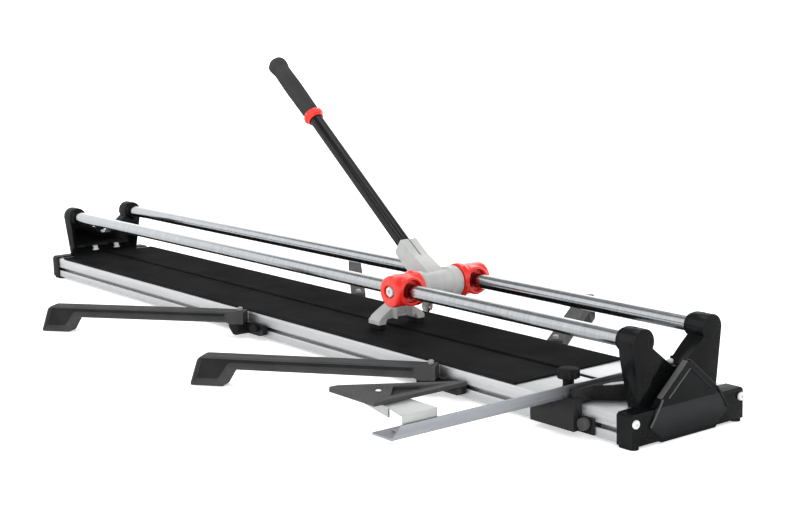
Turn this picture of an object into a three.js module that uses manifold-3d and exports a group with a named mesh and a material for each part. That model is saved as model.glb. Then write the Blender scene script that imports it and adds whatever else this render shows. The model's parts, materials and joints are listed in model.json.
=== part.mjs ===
// A long manual tile cutter: two round rails carry a sliding carriage with a lever, a scoring wheel and a
// breaking foot over a rubber-covered bed. Four swing arms widen the bed, and a fence with a square guides
// the tile at the near end.
//
// Frame, in millimetres: the origin is under the middle of the bed, on the floor. +X runs along the rails
// towards the end with the fence, +Y is the rear side (away from the fence's outer end) and +Z is up.

import * as THREE from 'three';
import { mergeVertices } from 'three/addons/utils/BufferGeometryUtils.js';
import Module from 'manifold-3d';

const wasm = await Module();
wasm.setup();

// ---------------------------------------------------------------- driving dimensions
const LENGTH = 1920; // over the two end castings
const WIDTH = 240; // over the end castings
const GAP = 0.3; // clearance between pieces that touch
const END = LENGTH / 2;

const RAIL_RADIUS = 12.5;
const RAIL_WALL = 2.5;
const RAIL_SPACING = 145.6; // between the rail axes
const RAIL_HEIGHT = 146.85;
const HALF_SPACING = RAIL_SPACING / 2;

const CAP_DEPTH = 31.6; // end casting, along X
const CAP_BOTTOM = 4.2;
const CAP_TOP = 52.7;
const COVER_SKIN = 1.5;
const CAP_FACE = END - COVER_SKIN;
const POST_INNER = 54; // inner face of the posts, measured in from the end
const POST_OUTER = 22; // outer face of the posts, measured in from the end
const POST_RADIUS = 21; // round top of a post, about the rail axis
const RAIL_SOCKET = 6; // wall left between a rail's end and the post's outer face
const POST_TAPER = 12; // the posts narrow by this much towards the bed, on their outer edge
const POST_LEAN = 8; // and on their inner face
const GABLE_TOP = 113;
const GABLE_DEPTH = 12;
const BOLT_Y = 113;
const BOLT_Z = 39;
const BOLT_RADIUS = 3;

const PROFILE_FRONT = 118; // distance of the profile's outer face from the centre plane
const PROFILE_BOTTOM = 6;
const BED_HALF_LENGTH = END - CAP_DEPTH - GAP;
const BED_TOP = 50; // bare aluminium
const PAD_FLAT = 53.4; // rubber, where a tile lies
const PAD_RIDGE = 54; // low ridge along the rubber's outer edge
const RIB_TOP = 56.5; // breaking rib
const SLOT_HEIGHT = 24.5; // middle of the T-slot
const SLOT_HALF = 3.5;
const SLOT_NECK = 3; // depth of the slot's mouth
const SLOT_DEPTH = 12;
const SLOT_INNER_HALF = 7.5;
const STUD_RADIUS = 3;

const PAD_NEAR_END = 709; // the rubber stops short of the fence
const PAD_FAR_END = -902;

const CARRIAGE_X = 372;
const SLEEVE_BACK = -24; // ends of a sleeve's barrel along the rail
const SLEEVE_FRONT = 28;
const SLEEVE_RADIUS = 28;
const SLEEVE_FACE = 104; // outer face of a sleeve's cross boss, from the centre plane
const SLEEVE_INNER = 44.5;
const NUT_RECESS = 7;
const AXLE_RADIUS = 8;
const AXLE_HALF = 56;
const HUB_RADIUS = 23;
const HUB_FLANGE_RADIUS = 28;
const HUB_HALF = 43.7;

const LEVER_ANGLE = THREE.MathUtils.degToRad(38.2); // above the horizontal, leaning towards -X
const LEVER_DROP = 6.4; // the lever's axis passes this far under the hub's centre
const TUBE_RADIUS = 12.8;
const TUBE_WALL = 2;
const SOCKET_END = 106; // distances along the lever, from the hub
const TUBE_START = 62;
const COLLAR_START = 447;
const COLLAR_END = 464;
const GRIP_END = 620;
const TUBE_END = 600;

const FOOT_X = 255; // breaking foot
const FOOT_HALF_SPAN = 52;
const FOOT_HALF_LENGTH = 16;
const FOOT_SOLE = 64; // underside of the foot's tips, over their pads
const WHEEL_X = CARRIAGE_X - 26;
const WHEEL_RADIUS = 9;
const WHEEL_Z = 101;
const WHEEL_PIN_RADIUS = 2;
const SHANK_RADIUS = 5;

const ARM_REACH = 426; // pivot to the outer end of the leg
const ARM_HALF_WIDTH = 14;
const ARM_TOP = 53;
const ARM_ROOT_BOTTOM = 28; // around the pivot
const ARM_UNDERSIDE = 31; // along the beam
const ARM_ROOT = 10; // squared end beyond the pivot
const ARM_FLOOR_GAP = 0.3;
const ARM_RECESS = 4;
const LEG_START = 80; // inner edge of the leg, back from the outer end: at the beam
const LEG_FOOT = 68; // and at the floor
const LEG_LEAN = 18; // lean of the outer edge
const PIVOT_OFFSET = 135.6; // arm pivots, from the centre plane
const PIN_RADIUS = 4;
const HINGE_PROUD = 12; // clamping part of a hinge block, out from the profile
const HINGE_END = 72; // its end along the bed, from the pivot
const KNOB_OFFSET = 46; // clamp knob beside its hinge block

// Place along the bed, side of the bed and direction in which each arm points, in degrees about +Z.
const ARMS = [
  { name: 'front_far', x: -70, side: -1, heading: 216.8 },
  { name: 'front_near', x: 524, side: -1, heading: 216.1 },
  { name: 'rear_far', x: -52, side: 1, heading: 145.4 },
  { name: 'rear_near', x: 532, side: 1, heading: 127.8 },
];

const FENCE_FACE = 845; // near face of the fence's upright web
const FENCE_BOTTOM = 59.5;
const FENCE_TOP = 78;
const FENCE_OUTER = -460;
const FENCE_CUT = 18; // slant of the web's outer end
const FENCE_INNER = 30;
const FENCE_FLANGE = 44;
const FENCE_SHEET = 3.5;
const CLAMP_X = 825; // fence clamp
const CLAMP_Y = -115;
const CLAMP_STUD = 4;
const CLAMP_SLOT = [-165, -65]; // slot in the fence's flange for the clamp's stud
const CLAMP_DEPTH = 8; // the stud reaches this far under the fence
const HOLDER_BACK = -136;
const HOLDER_KNOB_X = 872;
const HOLDER_PROUD = 4;

const STOP_TOP = 73; // wall across the bed at the fence
const STOP_OUTER = 856;
const HEEL_TOP = 82;

const SQUARE_BOTTOM = 91;
const SQUARE_TOP = 97;
const SCREW_X = 737;
const SCREW_Y = -400;
const BRACKET_OUTER = -437;
const BRACKET_INNER = -377;
const BRACKET_SHEET = 2.5;

const ROUND = 24; // sides of a large round piece
const SMALL_ROUND = 16;

// ---------------------------------------------------------------- finishes
const ALUMINIUM = { color: 0xc9cbcf, roughness: 0.38, metalness: 0.9 };
const RAIL_STEEL = { color: 0x9aa0a8, roughness: 0.25, metalness: 1 };
const ZINC = { color: 0xd5d8d6, roughness: 0.35, metalness: 0.8 };
const BLACK_CASTING = { color: 0x151718, roughness: 0.25, metalness: 0.1 };
const BLACK_PLASTIC = { color: 0x2a2b2c, roughness: 0.5, metalness: 0 };
const GREY_PLASTIC = { color: 0x4a4a4b, roughness: 0.55, metalness: 0 };
const RUBBER = { color: 0x2d2d2e, roughness: 0.85, metalness: 0 };
const RED_PLASTIC = { color: 0xd9372e, roughness: 0.3, metalness: 0 };
const GREY_CASTING = { color: 0xb4b5b2, roughness: 0.5, metalness: 0.6 };
const BLACK_PAINT = { color: 0x1b1b1d, roughness: 0.2, metalness: 0.1 };
const CARBIDE = { color: 0x77797c, roughness: 0.3, metalness: 1 };

// ---------------------------------------------------------------- solids
function toSolid(geometry) {
  const bare = geometry.clone();
  bare.deleteAttribute('normal');
  bare.deleteAttribute('uv');
  const merged = mergeVertices(bare, 1e-4);
  return new wasm.Manifold(new wasm.Mesh({
    numProp: 3,
    vertProperties: new Float32Array(merged.attributes.position.array),
    triVerts: new Uint32Array(merged.index.array),
  }));
}

function toGeometry(solid) {
  const { vertProperties, triVerts } = solid.getMesh();
  const geometry = new THREE.BufferGeometry();
  geometry.setAttribute('position', new THREE.BufferAttribute(new Float32Array(vertProperties), 3));
  geometry.setIndex(new THREE.BufferAttribute(new Uint32Array(triVerts), 1));
  geometry.computeVertexNormals();
  return geometry;
}

function join(first, ...others) {
  return toGeometry(others.reduce((solid, other) => solid.add(toSolid(other)), toSolid(first)));
}

function cut(first, ...tools) {
  return toGeometry(tools.reduce((solid, tool) => solid.subtract(toSolid(tool)), toSolid(first)));
}

// The same piece for the other side of the bed: Y is reversed, and so is each face's winding.
function mirrorAcrossBed(geometry) {
  const mirrored = geometry.clone().scale(1, -1, 1);
  const order = mirrored.index.array;
  for (let i = 0; i < order.length; i += 3) {
    [order[i + 1], order[i + 2]] = [order[i + 2], order[i + 1]];
  }
  mirrored.computeVertexNormals();
  return mirrored;
}

// A box between two limits on each axis.
function block([x0, x1], [y0, y1], [z0, z1]) {
  const geometry = new THREE.BoxGeometry(x1 - x0, y1 - y0, z1 - z0);
  return geometry.translate((x0 + x1) / 2, (y0 + y1) / 2, (z0 + z1) / 2);
}

// Local +Z of an extrusion or +Y of a turned piece, laid along a world axis.
const EXTRUDE_BASIS = {
  x: [[0, 1, 0], [0, 0, 1], [1, 0, 0]],
  y: [[1, 0, 0], [0, 0, 1], [0, -1, 0]],
  z: [[1, 0, 0], [0, 1, 0], [0, 0, 1]],
};

// Outline points are (Y, Z) along x, (X, Z) along y and (X, Y) along z.
function extrude(shape, axis, [from, to]) {
  const geometry = new THREE.ExtrudeGeometry(shape, {
    depth: to - from, bevelEnabled: false, curveSegments: 6,
  });
  const basis = EXTRUDE_BASIS[axis].map((v) => new THREE.Vector3(...v));
  geometry.applyMatrix4(new THREE.Matrix4().makeBasis(...basis));
  const start = axis === 'y' ? to : from;
  return geometry.translate(axis === 'x' ? start : 0, axis === 'y' ? start : 0, axis === 'z' ? start : 0);
}

function outline(points) {
  return new THREE.Shape(points.map(([u, v]) => new THREE.Vector2(u, v)));
}

function prism(points, axis, span) {
  return extrude(outline(points), axis, span);
}

// A body of revolution from (radius, position) pairs along an axis.
function turn(profile, axis, sides = ROUND) {
  const points = profile.map(([radius, along]) => new THREE.Vector2(radius, along));
  const geometry = new THREE.LatheGeometry(points, sides);
  if (axis === 'x') geometry.rotateZ(-Math.PI / 2);
  if (axis === 'z') geometry.rotateX(Math.PI / 2);
  return geometry;
}

function rod(axis, radius, [from, to], sides = ROUND) {
  return turn([[0, from], [radius, from], [radius, to], [0, to]], axis, sides);
}

function ring(axis, inner, outer, [from, to], sides = ROUND) {
  return turn([[inner, from], [outer, from], [outer, to], [inner, to], [inner, from]], axis, sides);
}

function add(parent, name, geometry, finish) {
  const mesh = new THREE.Mesh(geometry, new THREE.MeshStandardMaterial(finish));
  mesh.name = name;
  parent.add(mesh);
  return mesh;
}

function place(parent, x, y, z, turnZ = 0) {
  const group = new THREE.Group();
  group.position.set(x, y, z);
  group.rotation.z = turnZ;
  parent.add(group);
  return group;
}

// ---------------------------------------------------------------- bed
// One extruded half of the bed, front side: a hollow box with a T-slot along its face, and the bed plate.
function bedProfile() {
  const face = -PROFILE_FRONT;
  const inner = -6;
  const boxBack = -74;
  const slotTop = SLOT_HEIGHT + SLOT_HALF;
  const slotLow = SLOT_HEIGHT - SLOT_HALF;
  const cavityTop = SLOT_HEIGHT + SLOT_INNER_HALF;
  const cavityLow = SLOT_HEIGHT - SLOT_INNER_HALF;
  const corner = 3;
  const plate = 7;
  const shape = outline([
    [face, PROFILE_BOTTOM], [boxBack, PROFILE_BOTTOM], [boxBack, BED_TOP - plate],
    [inner - 5, BED_TOP - plate], [inner - 5, 30], [inner, 30], [inner, BED_TOP],
    [face + corner, BED_TOP], [face + 1, BED_TOP - 1], [face, BED_TOP - corner],
    [face, slotTop], [face + SLOT_NECK, slotTop], [face + SLOT_NECK, cavityTop],
    [face + SLOT_DEPTH, cavityTop], [face + SLOT_DEPTH, cavityLow], [face + SLOT_NECK, cavityLow],
    [face + SLOT_NECK, slotLow], [face, slotLow],
  ]);
  const wall = 3.5;
  const hollow = new THREE.Path([
    [face + SLOT_DEPTH + wall, PROFILE_BOTTOM + wall], [boxBack - wall, PROFILE_BOTTOM + wall],
    [boxBack - wall, BED_TOP - plate], [face + SLOT_DEPTH + wall, BED_TOP - plate],
  ].map(([u, v]) => new THREE.Vector2(u, v)));
  shape.holes.push(hollow);
  return extrude(shape, 'x', [-BED_HALF_LENGTH, BED_HALF_LENGTH]);
}

// Black steel spine between the two halves, with the breaking rib on top.
function centreSpine() {
  const web = 3;
  const flange = 5.6;
  const foot = 8;
  const beam = prism([
    [-flange, foot], [flange, foot], [flange, foot + 4], [web, foot + 4], [web, 40], [flange, 44],
    [flange, BED_TOP], [-flange, BED_TOP], [-flange, 44], [-web, 40], [-web, foot + 4], [-flange, foot + 4],
  ], 'x', [-BED_HALF_LENGTH, BED_HALF_LENGTH]);
  const rib = prism([
    [-5, BED_TOP - 1], [5, BED_TOP - 1], [5, RIB_TOP - 2], [3.5, RIB_TOP], [-3.5, RIB_TOP], [-5, RIB_TOP - 2],
  ], 'x', [PAD_FAR_END, PAD_NEAR_END]);
  return join(beam, rib);
}

function rubberPad(side) {
  const low = BED_TOP + GAP;
  const inner = 6;
  const ridge = 109;
  return prism([
    [side * PROFILE_FRONT, low], [side * inner, low], [side * inner, PAD_FLAT], [side * ridge, PAD_FLAT],
    [side * (ridge + 1), PAD_RIDGE], [side * (ridge + 3), PAD_RIDGE], [side * (ridge + 4), PAD_FLAT],
    [side * (PROFILE_FRONT - 0.5), PAD_FLAT], [side * PROFILE_FRONT, PAD_FLAT - 0.5],
  ], 'x', [PAD_FAR_END, PAD_NEAR_END]);
}

function buildBed(root) {
  add(root, 'front_profile', bedProfile(), ALUMINIUM);
  const rear = place(root, 0, 0, 0, Math.PI);
  add(rear, 'rear_profile', bedProfile(), ALUMINIUM);
  add(root, 'centre_spine', centreSpine(), BLACK_PLASTIC);
  add(root, 'rubber_pad_front', rubberPad(-1), RUBBER);
  add(root, 'rubber_pad_rear', rubberPad(1), RUBBER);
}

// ---------------------------------------------------------------- end castings, in the near end's place
// Two round-topped posts with a notch between them, as one plate.
function postPlate() {
  const outer = HALF_SPACING + POST_RADIUS;
  const notchHalf = 11;
  const notchZ = 102;
  const shoulderY = HALF_SPACING - POST_RADIUS * Math.cos(Math.PI / 6);
  const shoulderZ = RAIL_HEIGHT - POST_RADIUS * Math.sin(Math.PI / 6);
  const shape = new THREE.Shape();
  shape.moveTo(POST_TAPER - outer, BED_TOP + GAP);
  shape.lineTo(outer - POST_TAPER, BED_TOP + GAP);
  shape.lineTo(outer, RAIL_HEIGHT);
  shape.absarc(HALF_SPACING, RAIL_HEIGHT, POST_RADIUS, 0, Math.PI * 7 / 6, false);
  shape.lineTo(shoulderY, shoulderZ);
  shape.lineTo(notchHalf, notchZ);
  shape.lineTo(-notchHalf, notchZ);
  shape.lineTo(-shoulderY, shoulderZ);
  shape.absarc(-HALF_SPACING, RAIL_HEIGHT, POST_RADIUS, -Math.PI / 6, Math.PI, false);
  shape.closePath();
  const plate = extrude(shape, 'x', [END - POST_INNER, END - POST_OUTER]);
  const inner = END - POST_INNER;
  const lean = prism([
    [inner - 1, BED_TOP - 1], [inner + POST_LEAN, BED_TOP - 1], [inner, 124], [inner - 1, 124],
  ], 'y', [-outer - 1, outer + 1]);
  return cut(plate, lean);
}

function supportCasting() {
  const half = WIDTH / 2;
  const skirtHalf = 58;
  const corner = 4;
  const cap = prism([
    [-half, CAP_BOTTOM], [-skirtHalf - 3, CAP_BOTTOM], [-skirtHalf, 1], [skirtHalf, 1],
    [skirtHalf + 3, CAP_BOTTOM], [half, CAP_BOTTOM], [half, CAP_TOP - corner], [half - corner, CAP_TOP],
    [-half + corner, CAP_TOP], [-half, CAP_TOP - corner],
  ], 'x', [END - CAP_DEPTH, CAP_FACE]);
  // The posts stand on a foot that reaches over the bed's end.
  const postHalf = HALF_SPACING + POST_RADIUS - POST_TAPER;
  const footFrom = END - POST_INNER + POST_LEAN;
  const foot = block([footFrom, END - CAP_DEPTH + 1], [-postHalf, postHalf], [BED_TOP + GAP, 62]);
  // Filling behind the cover's gable, a step lower than the gable.
  const filling = prism([
    [-62, CAP_TOP - 1], [62, CAP_TOP - 1], [50, 62], [3, GABLE_TOP - 9], [-3, GABLE_TOP - 9], [-50, 62],
  ], 'x', [END - POST_OUTER - 1, END - GABLE_DEPTH]);
  const railEnd = END - POST_OUTER - RAIL_SOCKET;
  const railBores = [-1, 1].map((side) => rod('x', RAIL_RADIUS + GAP, [END - POST_INNER - 1, railEnd])
    .translate(0, side * HALF_SPACING, RAIL_HEIGHT));
  const pocketTop = 118;
  const pocket = prism([
    [-75, 68], [75, 68], [82, pocketTop], [64, pocketTop], [14, 92], [-14, 92], [-64, pocketTop],
    [-82, pocketTop],
  ], 'x', [END - POST_INNER - 1, railEnd]);
  const middle = END - (POST_INNER + POST_OUTER) / 2;
  const screwHoles = [-1, 1].map((side) => rod('z', STUD_RADIUS + GAP, [RAIL_HEIGHT + 8, RAIL_HEIGHT + 30],
    SMALL_ROUND).translate(middle, side * HALF_SPACING, 0));
  const boltSpan = [END - CAP_DEPTH - 1, END + 1];
  const boltHoles = [-1, 1].map((side) => rod('x', BOLT_RADIUS + GAP, boltSpan, SMALL_ROUND)
    .translate(0, side * BOLT_Y, BOLT_Z));
  const hollow = block([END - CAP_DEPTH - 1, CAP_FACE - 5], [-52, 52], [0, 44]);
  const casting = join(cap, foot, filling, postPlate());
  return cut(casting, pocket, hollow, ...railBores, ...screwHoles, ...boltHoles);
}

// Pointed cover over the middle of the casting: a gable on top and a thin skin down its face.
function endCover() {
  const depthFrom = END - GABLE_DEPTH + GAP;
  const low = CAP_TOP + GAP;
  const gable = prism([[-71, low], [71, low], [58, 66], [3, GABLE_TOP], [-3, GABLE_TOP], [-58, 66]],
    'x', [depthFrom, END + GAP]);
  const skin = prism([
    [-84, 26], [-60, 8], [60, 8], [84, 26], [71, low + 1], [-71, low + 1],
  ], 'x', [CAP_FACE + GAP, END + GAP]);
  return join(gable, skin);
}

function cornerFoot() {
  const shape = new THREE.Shape();
  const long = 13;
  const half = 8;
  shape.absarc(long - half / 2, 0, half, -Math.PI / 2, Math.PI / 2, false);
  shape.absarc(-long + half / 2, 0, half, Math.PI / 2, Math.PI * 1.5, false);
  shape.closePath();
  return extrude(shape, 'z', [0, CAP_BOTTOM - GAP]);
}

// Bolt through the casting into the aluminium profile.
function endBolt() {
  const head = 6.6;
  const start = END - CAP_DEPTH + 2;
  const seat = CAP_FACE + GAP;
  const socket = 2.4;
  return turn([
    [0, start], [BOLT_RADIUS, start], [BOLT_RADIUS, seat], [head, seat], [head, END + 1.5],
    [head - 1.5, END + 3], [socket, END + 3], [socket, END + 1], [0, END + 1],
  ], 'x', SMALL_ROUND);
}

function buildEnd(root, label, turned) {
  const end = place(root, 0, 0, 0, turned ? Math.PI : 0);
  add(end, `${label}_support`, supportCasting(), BLACK_CASTING);
  add(end, `${label}_cover`, endCover(), BLACK_PLASTIC);
  // The far end is the near end turned round, so its front side is local +Y.
  const frontSide = turned ? 1 : -1;
  for (const [side, sideName] of [[frontSide, 'front'], [-frontSide, 'rear']]) {
    const foot = place(end, END - 17, side * 110, 0);
    add(foot, `foot_${label}_${sideName}`, cornerFoot(), RUBBER);
    const bolt = place(end, 0, side * BOLT_Y, BOLT_Z);
    add(bolt, `end_bolt_${label}_${sideName}`, endBolt(), ZINC);
  }
}

// ---------------------------------------------------------------- rails
function buildRails(root) {
  const half = END - POST_OUTER - RAIL_SOCKET - GAP;
  for (const [side, name] of [[-1, 'front_rail'], [1, 'rear_rail']]) {
    const rail = place(root, 0, side * HALF_SPACING, RAIL_HEIGHT);
    add(rail, name, ring('x', RAIL_RADIUS - RAIL_WALL, RAIL_RADIUS, [-half, half]), RAIL_STEEL);
  }
}

// ---------------------------------------------------------------- carriage
// A sleeve slides on its rail and has a round boss across it, front side.
function sleeve() {
  const bore = RAIL_RADIUS + GAP;
  const barrelRadius = 25.5;
  const mouth = 20;
  const mouthDepth = 11;
  const barrel = turn([
    [bore, SLEEVE_BACK], [barrelRadius - 2, SLEEVE_BACK], [barrelRadius, SLEEVE_BACK + 2],
    [barrelRadius, SLEEVE_FRONT - 2], [barrelRadius - 2, SLEEVE_FRONT], [mouth, SLEEVE_FRONT],
    [mouth, SLEEVE_FRONT - mouthDepth], [bore, SLEEVE_FRONT - mouthDepth], [bore, SLEEVE_BACK],
  ], 'x').translate(0, -HALF_SPACING, 0);
  const flange = SLEEVE_RADIUS + 3;
  const boss = turn([
    [0, -SLEEVE_FACE], [SLEEVE_RADIUS - 5, -SLEEVE_FACE], [SLEEVE_RADIUS - 1.5, -SLEEVE_FACE + 1.5],
    [SLEEVE_RADIUS, -SLEEVE_FACE + 6], [SLEEVE_RADIUS, -SLEEVE_INNER - 16], [flange, -SLEEVE_INNER - 11],
    [flange, -SLEEVE_INNER - 2], [flange - 2, -SLEEVE_INNER], [0, -SLEEVE_INNER],
  ], 'y');
  const reach = flange + 2;
  const railBore = rod('x', bore, [-reach, reach]).translate(0, -HALF_SPACING, 0);
  const mouthBore = rod('x', mouth, [SLEEVE_FRONT - mouthDepth, reach]).translate(0, -HALF_SPACING, 0);
  const recess = rod('y', 11, [-SLEEVE_FACE - 1, -SLEEVE_FACE + NUT_RECESS]).scale(1.4, 1, 1);
  const axleBore = rod('y', AXLE_RADIUS + GAP, [-AXLE_HALF, -SLEEVE_INNER + 1]);
  return cut(join(barrel, boss), railBore, mouthBore, recess, axleBore);
}

function sleeveNut() {
  const back = -SLEEVE_FACE + NUT_RECESS - GAP;
  const nut = rod('y', 9.5, [back - 6, back], 6);
  return cut(nut, rod('y', 4, [back - 7, back - 3], SMALL_ROUND));
}

function buildCarriage(root) {
  const carriage = place(root, CARRIAGE_X, 0, RAIL_HEIGHT);
  for (const [name, handed] of [['front', (piece) => piece], ['rear', mirrorAcrossBed]]) {
    add(carriage, `sleeve_${name}`, handed(sleeve()), RED_PLASTIC);
    add(carriage, `sleeve_nut_${name}`, handed(sleeveNut()), ZINC);
  }
  add(carriage, 'cross_axle', rod('y', AXLE_RADIUS, [-AXLE_HALF + GAP, AXLE_HALF - GAP]), RAIL_STEEL);
}

// ---------------------------------------------------------------- lever, about the hub's centre
// Point at a distance along the lever's axis, and across it (positive is above the axis).
function alongLever(distance, across = 0) {
  const c = Math.cos(LEVER_ANGLE);
  const s = Math.sin(LEVER_ANGLE);
  const offset = across - LEVER_DROP;
  return [-distance * c + offset * s, distance * s + offset * c];
}

// A piece turned about the lever's own axis.
function turnAlongLever(profile, sides = ROUND) {
  const geometry = turn(profile, 'x', sides).rotateY(Math.PI + LEVER_ANGLE);
  const [x, z] = alongLever(0);
  return geometry.translate(x, 0, z);
}

function leverBody() {
  const hub = turn([
    [0, -HUB_HALF], [HUB_FLANGE_RADIUS - 2, -HUB_HALF], [HUB_FLANGE_RADIUS, -HUB_HALF + 2],
    [HUB_FLANGE_RADIUS, -34], [HUB_RADIUS, -31], [HUB_RADIUS, 22], [HUB_FLANGE_RADIUS, 25],
    [HUB_FLANGE_RADIUS, HUB_HALF - 2], [HUB_FLANGE_RADIUS - 2, HUB_HALF], [0, HUB_HALF],
  ], 'y');
  const half = 16.5;
  const socket = prism([
    alongLever(-10, 25), alongLever(-10, -14), alongLever(24, -17.5), alongLever(SOCKET_END - 5, -17),
    alongLever(SOCKET_END, -12), alongLever(SOCKET_END, 14), alongLever(SOCKET_END - 3, 17.5),
    alongLever(60, 18.5), alongLever(25, 25),
  ], 'y', [-half, half]);
  // Downward arm that carries the breaking foot.
  const footX = FOOT_X - CARRIAGE_X;
  const footArm = prism([
    [-4, -22], [-60, -38], [footX - 14, -54], [footX - 14, -44], [footX + 4, -34], [-52, 0], [-12, 16],
  ], 'y', [-11, 11]);
  const wheelX = WHEEL_X - CARRIAGE_X;
  const wheelBoss = block([wheelX - 10, wheelX + 12], [-11, 11], [-32, -8]);
  const axleBore = rod('y', AXLE_RADIUS + GAP, [-HUB_HALF - 1, HUB_HALF + 1]);
  const boreEnd = SOCKET_END + 5;
  const tubeBore = turnAlongLever([
    [0, TUBE_START - 1], [TUBE_RADIUS + GAP, TUBE_START - 1], [TUBE_RADIUS + GAP, boreEnd], [0, boreEnd],
  ]);
  const clampSlot = prism([
    alongLever(TUBE_START - 1, 0), alongLever(boreEnd, 0), alongLever(boreEnd, 24),
    alongLever(TUBE_START - 1, 24),
  ], 'y', [-1.4, 1.4]);
  const shankBore = rod('z', SHANK_RADIUS + GAP, [-34, -12], SMALL_ROUND).translate(wheelX, 0, 0);
  return cut(join(hub, socket, footArm, wheelBoss), axleBore, tubeBore, clampSlot, shankBore);
}

function leverTube() {
  const inner = TUBE_RADIUS - TUBE_WALL;
  return turnAlongLever([
    [inner, TUBE_START], [TUBE_RADIUS, TUBE_START], [TUBE_RADIUS, TUBE_END], [inner, TUBE_END],
    [inner, TUBE_START],
  ]);
}

function gripCollar() {
  const inner = TUBE_RADIUS + GAP;
  return turnAlongLever([
    [inner, COLLAR_START], [15.5, COLLAR_START], [16.5, COLLAR_START + 5], [20, COLLAR_START + 8],
    [20, COLLAR_END - 3], [17, COLLAR_END], [inner, COLLAR_END], [inner, COLLAR_START],
  ]);
}

function grip() {
  const inner = TUBE_RADIUS + GAP;
  const start = COLLAR_END + GAP;
  return turnAlongLever([
    [inner, start], [16, start], [16.3, start + 30], [17, start + 80], [16.8, start + 120],
    [18, GRIP_END - 24], [19.5, GRIP_END - 12], [17, GRIP_END - 4], [10, GRIP_END], [0, GRIP_END],
    [0, TUBE_END + GAP], [inner, TUBE_END + GAP], [inner, start],
  ]);
}

// Bowed foot that straddles the rib: a flat beam with down-turned tips and two cross fins, and a rubber pad
// under each tip.
function breakerFoot() {
  const bottom = FOOT_SOLE - RAIL_HEIGHT;
  const span = FOOT_HALF_SPAN;
  const footX = FOOT_X - CARRIAGE_X;
  const tip = (side) => [
    [side * span, bottom], [side * span, bottom + 7], [side * (span - 6), bottom + 14],
    [side * 30, bottom + 24], [side * 14, bottom + 32],
  ];
  const under = (side) => [
    [side * 14, bottom + 10], [side * (span - 19), bottom + 8], [side * (span - 15), bottom],
  ];
  const beam = prism([
    ...tip(-1), ...tip(1).reverse(), ...under(1).reverse(), ...under(-1),
  ], 'x', [footX - FOOT_HALF_LENGTH, footX + FOOT_HALF_LENGTH]);
  const fins = [-1, 1].map((side) => prism([
    [side * 17, bottom + 9], [side * 21, bottom + 9], [side * 21, bottom + 28], [side * 17, bottom + 28],
  ], 'x', [footX - FOOT_HALF_LENGTH, footX + 26]));
  const seatHalf = 11 + GAP;
  const seat = block([footX - 18, footX + 18], [-seatHalf, seatHalf], [bottom + 14, 0]);
  return cut(join(beam, ...fins), seat);
}

function footPad(side) {
  const low = PAD_FLAT + GAP - RAIL_HEIGHT;
  const high = FOOT_SOLE - GAP - RAIL_HEIGHT;
  const footX = FOOT_X - CARRIAGE_X;
  const outer = FOOT_HALF_SPAN - 0.5;
  const inner = outer - 15;
  const half = FOOT_HALF_LENGTH - 1;
  return prism([
    [side * outer, low + 1], [side * (outer - 1), low], [side * (inner + 1), low], [side * inner, low + 1],
    [side * inner, high], [side * outer, high],
  ], 'x', [footX - half, footX + half]);
}

function wheelHolder() {
  const x = WHEEL_X - CARRIAGE_X;
  const axle = WHEEL_Z - RAIL_HEIGHT;
  const shank = rod('z', SHANK_RADIUS, [-33, -13], SMALL_ROUND).translate(x, 0, 0);
  const head = prism([
    [x - 7, -32.5], [x + 7, -32.5], [x + 7, axle], [x + 4, axle - 5], [x - 4, axle - 5], [x - 7, axle],
  ], 'y', [-7, 7]);
  const slot = block([x - 12, x + 12], [-2.1, 2.1], [axle - 8, axle + WHEEL_RADIUS + 1]);
  const pinBore = rod('y', WHEEL_PIN_RADIUS + GAP, [-8, 8], SMALL_ROUND).translate(x, 0, axle);
  return cut(join(shank, head), slot, pinBore);
}

function scoringWheel() {
  const bore = WHEEL_PIN_RADIUS + 0.7;
  const half = 1.6;
  const profile = [
    [bore, -half], [WHEEL_RADIUS - 1.5, -half], [WHEEL_RADIUS, 0], [WHEEL_RADIUS - 1.5, half],
    [bore, half], [bore, -half],
  ];
  return turn(profile, 'y').translate(WHEEL_X - CARRIAGE_X, 0, WHEEL_Z - RAIL_HEIGHT);
}

function buildLever(root) {
  const lever = place(root, CARRIAGE_X, 0, RAIL_HEIGHT);
  add(lever, 'lever_body', leverBody(), GREY_CASTING);
  add(lever, 'lever_tube', leverTube(), BLACK_PAINT);
  add(lever, 'grip_collar', gripCollar(), RED_PLASTIC);
  add(lever, 'grip', grip(), GREY_PLASTIC);
  add(lever, 'breaker_foot', breakerFoot(), GREY_CASTING);
  add(lever, 'foot_pad_front', footPad(-1), RUBBER);
  add(lever, 'foot_pad_rear', footPad(1), RUBBER);
  add(lever, 'wheel_holder', wheelHolder(), ZINC);
  add(lever, 'scoring_wheel', scoringWheel(), CARBIDE);
  const pin = rod('y', WHEEL_PIN_RADIUS, [-7.5, 7.5], SMALL_ROUND);
  add(lever, 'wheel_pin', pin.translate(WHEEL_X - CARRIAGE_X, 0, WHEEL_Z - RAIL_HEIGHT), ZINC);
}

// ---------------------------------------------------------------- swing arms
// Bar that fills the T-slot between two places along the bed; slotFace is the profile's outer face.
function slotBar(slotFace, span) {
  const neckHalf = SLOT_HALF - GAP;
  const headHalf = SLOT_INNER_HALF - GAP;
  const headFrom = slotFace + SLOT_NECK + GAP;
  return join(
    block(span, [slotFace - GAP - 1, headFrom + 1], [SLOT_HEIGHT - neckHalf, SLOT_HEIGHT + neckHalf]),
    block(span, [headFrom, slotFace + SLOT_DEPTH - GAP], [SLOT_HEIGHT - headHalf, SLOT_HEIGHT + headHalf]),
  );
}

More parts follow.
